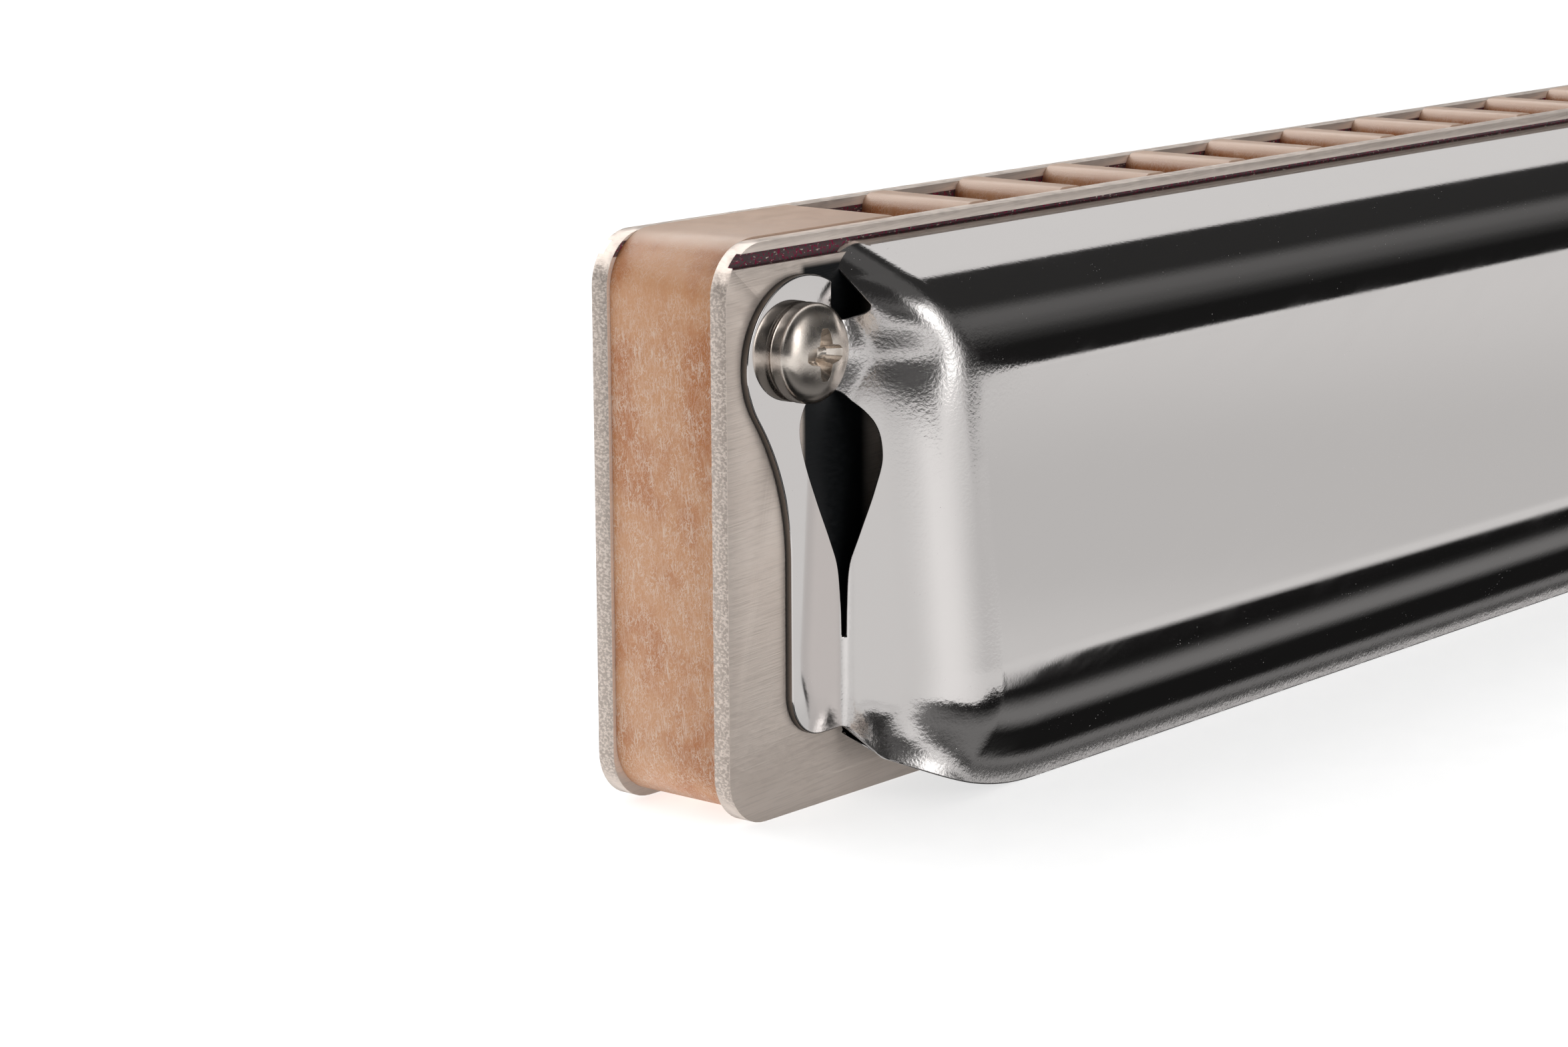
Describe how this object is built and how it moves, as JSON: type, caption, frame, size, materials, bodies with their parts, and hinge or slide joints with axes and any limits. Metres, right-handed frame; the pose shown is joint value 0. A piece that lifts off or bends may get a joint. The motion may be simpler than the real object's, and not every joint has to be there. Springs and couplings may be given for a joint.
{
  "type": "diatonic harmonica",
  "caption": "Pocket mouth organ: a wood-fibre comb between metal reed plates and polished sheet covers with side vents, played through square mouth holes with swinging reeds.",
  "frame": {"origin": "on the ground under the middle of the body, which stands on its rear edge", "axes": "+X along the length to the low notes, -Y the blow side with the upper cover, +Z the mouth side"},
  "size_m": [0.0998, 0.0206, 0.0274],
  "materials": {
    "comb": "satin wood-fibre composite with short pale fibres",
    "reed_plate": "satin nickel silver, polished at the edges",
    "cover": "mirror-polished stainless sheet",
    "fastener": "bright nickel plate",
    "reed": "fine ground stainless steel",
    "rivet": "bright brass"
  },
  "bodies": {
    "body": {"comb": "comb", "blow_plate": "reed_plate", "draw_plate": "reed_plate", "upper_cover": "cover", "lower_cover": "cover", "cover_screws": "fastener", "cover_nuts": "fastener", "blow_plate_screws": "fastener", "draw_plate_screws": "fastener", "blow_reed_pads": "reed", "draw_reed_pads": "reed", "blow_rivets": "rivet", "draw_rivets": "rivet"},
    "blow_reed_1": {"blow_reed_1": "reed"},
    "blow_reed_2": {"blow_reed_2": "reed"},
    "blow_reed_3": {"blow_reed_3": "reed"},
    "blow_reed_4": {"blow_reed_4": "reed"},
    "blow_reed_5": {"blow_reed_5": "reed"},
    "blow_reed_6": {"blow_reed_6": "reed"},
    "blow_reed_7": {"blow_reed_7": "reed"},
    "blow_reed_8": {"blow_reed_8": "reed"},
    "blow_reed_9": {"blow_reed_9": "reed"},
    "blow_reed_10": {"blow_reed_10": "reed"},
    "draw_reed_1": {"draw_reed_1": "reed"},
    "draw_reed_2": {"draw_reed_2": "reed"},
    "draw_reed_3": {"draw_reed_3": "reed"},
    "draw_reed_4": {"draw_reed_4": "reed"},
    "draw_reed_5": {"draw_reed_5": "reed"},
    "draw_reed_6": {"draw_reed_6": "reed"},
    "draw_reed_7": {"draw_reed_7": "reed"},
    "draw_reed_8": {"draw_reed_8": "reed"},
    "draw_reed_9": {"draw_reed_9": "reed"},
    "draw_reed_10": {"draw_reed_10": "reed"}
  },
  "joints": [
    {"name": "blow_reed_1_swing", "type": "hinge", "parent": "body", "child": "blow_reed_1", "pos_m": [0.03375, -0.00297, 0.0074], "axis": [1, 0, 0], "range_deg": [-3, 3], "stiffness_Nm_per_rad": 0.004},
    {"name": "blow_reed_2_swing", "type": "hinge", "parent": "body", "child": "blow_reed_2", "pos_m": [0.02625, -0.00297, 0.00807], "axis": [1, 0, 0], "range_deg": [-3, 3], "stiffness_Nm_per_rad": 0.004},
    {"name": "blow_reed_3_swing", "type": "hinge", "parent": "body", "child": "blow_reed_3", "pos_m": [0.01875, -0.00297, 0.00873], "axis": [1, 0, 0], "range_deg": [-3, 3], "stiffness_Nm_per_rad": 0.004},
    {"name": "blow_reed_4_swing", "type": "hinge", "parent": "body", "child": "blow_reed_4", "pos_m": [0.01125, -0.00297, 0.0094], "axis": [1, 0, 0], "range_deg": [-3, 3], "stiffness_Nm_per_rad": 0.004},
    {"name": "blow_reed_5_swing", "type": "hinge", "parent": "body", "child": "blow_reed_5", "pos_m": [0.00375, -0.00297, 0.01007], "axis": [1, 0, 0], "range_deg": [-3, 3], "stiffness_Nm_per_rad": 0.004},
    {"name": "blow_reed_6_swing", "type": "hinge", "parent": "body", "child": "blow_reed_6", "pos_m": [-0.00375, -0.00297, 0.01073], "axis": [1, 0, 0], "range_deg": [-3, 3], "stiffness_Nm_per_rad": 0.004},
    {"name": "blow_reed_7_swing", "type": "hinge", "parent": "body", "child": "blow_reed_7", "pos_m": [-0.01125, -0.00297, 0.0114], "axis": [1, 0, 0], "range_deg": [-3, 3], "stiffness_Nm_per_rad": 0.004},
    {"name": "blow_reed_8_swing", "type": "hinge", "parent": "body", "child": "blow_reed_8", "pos_m": [-0.01875, -0.00297, 0.01207], "axis": [1, 0, 0], "range_deg": [-3, 3], "stiffness_Nm_per_rad": 0.004},
    {"name": "blow_reed_9_swing", "type": "hinge", "parent": "body", "child": "blow_reed_9", "pos_m": [-0.02625, -0.00297, 0.01273], "axis": [1, 0, 0], "range_deg": [-3, 3], "stiffness_Nm_per_rad": 0.004},
    {"name": "blow_reed_10_swing", "type": "hinge", "parent": "body", "child": "blow_reed_10", "pos_m": [-0.03375, -0.00297, 0.0134], "axis": [1, 0, 0], "range_deg": [-3, 3], "stiffness_Nm_per_rad": 0.004},
    {"name": "draw_reed_1_swing", "type": "hinge", "parent": "body", "child": "draw_reed_1", "pos_m": [0.03375, 0.00434, 0.0209], "axis": [1, 0, 0], "range_deg": [-3, 3], "stiffness_Nm_per_rad": 0.004},
    {"name": "draw_reed_2_swing", "type": "hinge", "parent": "body", "child": "draw_reed_2", "pos_m": [0.02625, 0.00434, 0.0209], "axis": [1, 0, 0], "range_deg": [-3, 3], "stiffness_Nm_per_rad": 0.004},
    {"name": "draw_reed_3_swing", "type": "hinge", "parent": "body", "child": "draw_reed_3", "pos_m": [0.01875, 0.00434, 0.0209], "axis": [1, 0, 0], "range_deg": [-3, 3], "stiffness_Nm_per_rad": 0.004},
    {"name": "draw_reed_4_swing", "type": "hinge", "parent": "body", "child": "draw_reed_4", "pos_m": [0.01125, 0.00434, 0.0209], "axis": [1, 0, 0], "range_deg": [-3, 3], "stiffness_Nm_per_rad": 0.004},
    {"name": "draw_reed_5_swing", "type": "hinge", "parent": "body", "child": "draw_reed_5", "pos_m": [0.00375, 0.00434, 0.0209], "axis": [1, 0, 0], "range_deg": [-3, 3], "stiffness_Nm_per_rad": 0.004},
    {"name": "draw_reed_6_swing", "type": "hinge", "parent": "body", "child": "draw_reed_6", "pos_m": [-0.00375, 0.00434, 0.0209], "axis": [1, 0, 0], "range_deg": [-3, 3], "stiffness_Nm_per_rad": 0.004},
    {"name": "draw_reed_7_swing", "type": "hinge", "parent": "body", "child": "draw_reed_7", "pos_m": [-0.01125, 0.00434, 0.0209], "axis": [1, 0, 0], "range_deg": [-3, 3], "stiffness_Nm_per_rad": 0.004},
    {"name": "draw_reed_8_swing", "type": "hinge", "parent": "body", "child": "draw_reed_8", "pos_m": [-0.01875, 0.00434, 0.0209], "axis": [1, 0, 0], "range_deg": [-3, 3], "stiffness_Nm_per_rad": 0.004},
    {"name": "draw_reed_9_swing", "type": "hinge", "parent": "body", "child": "draw_reed_9", "pos_m": [-0.02625, 0.00434, 0.0209], "axis": [1, 0, 0], "range_deg": [-3, 3], "stiffness_Nm_per_rad": 0.004},
    {"name": "draw_reed_10_swing", "type": "hinge", "parent": "body", "child": "draw_reed_10", "pos_m": [-0.03375, 0.00434, 0.0209], "axis": [1, 0, 0], "range_deg": [-3, 3], "stiffness_Nm_per_rad": 0.004}
  ]
}
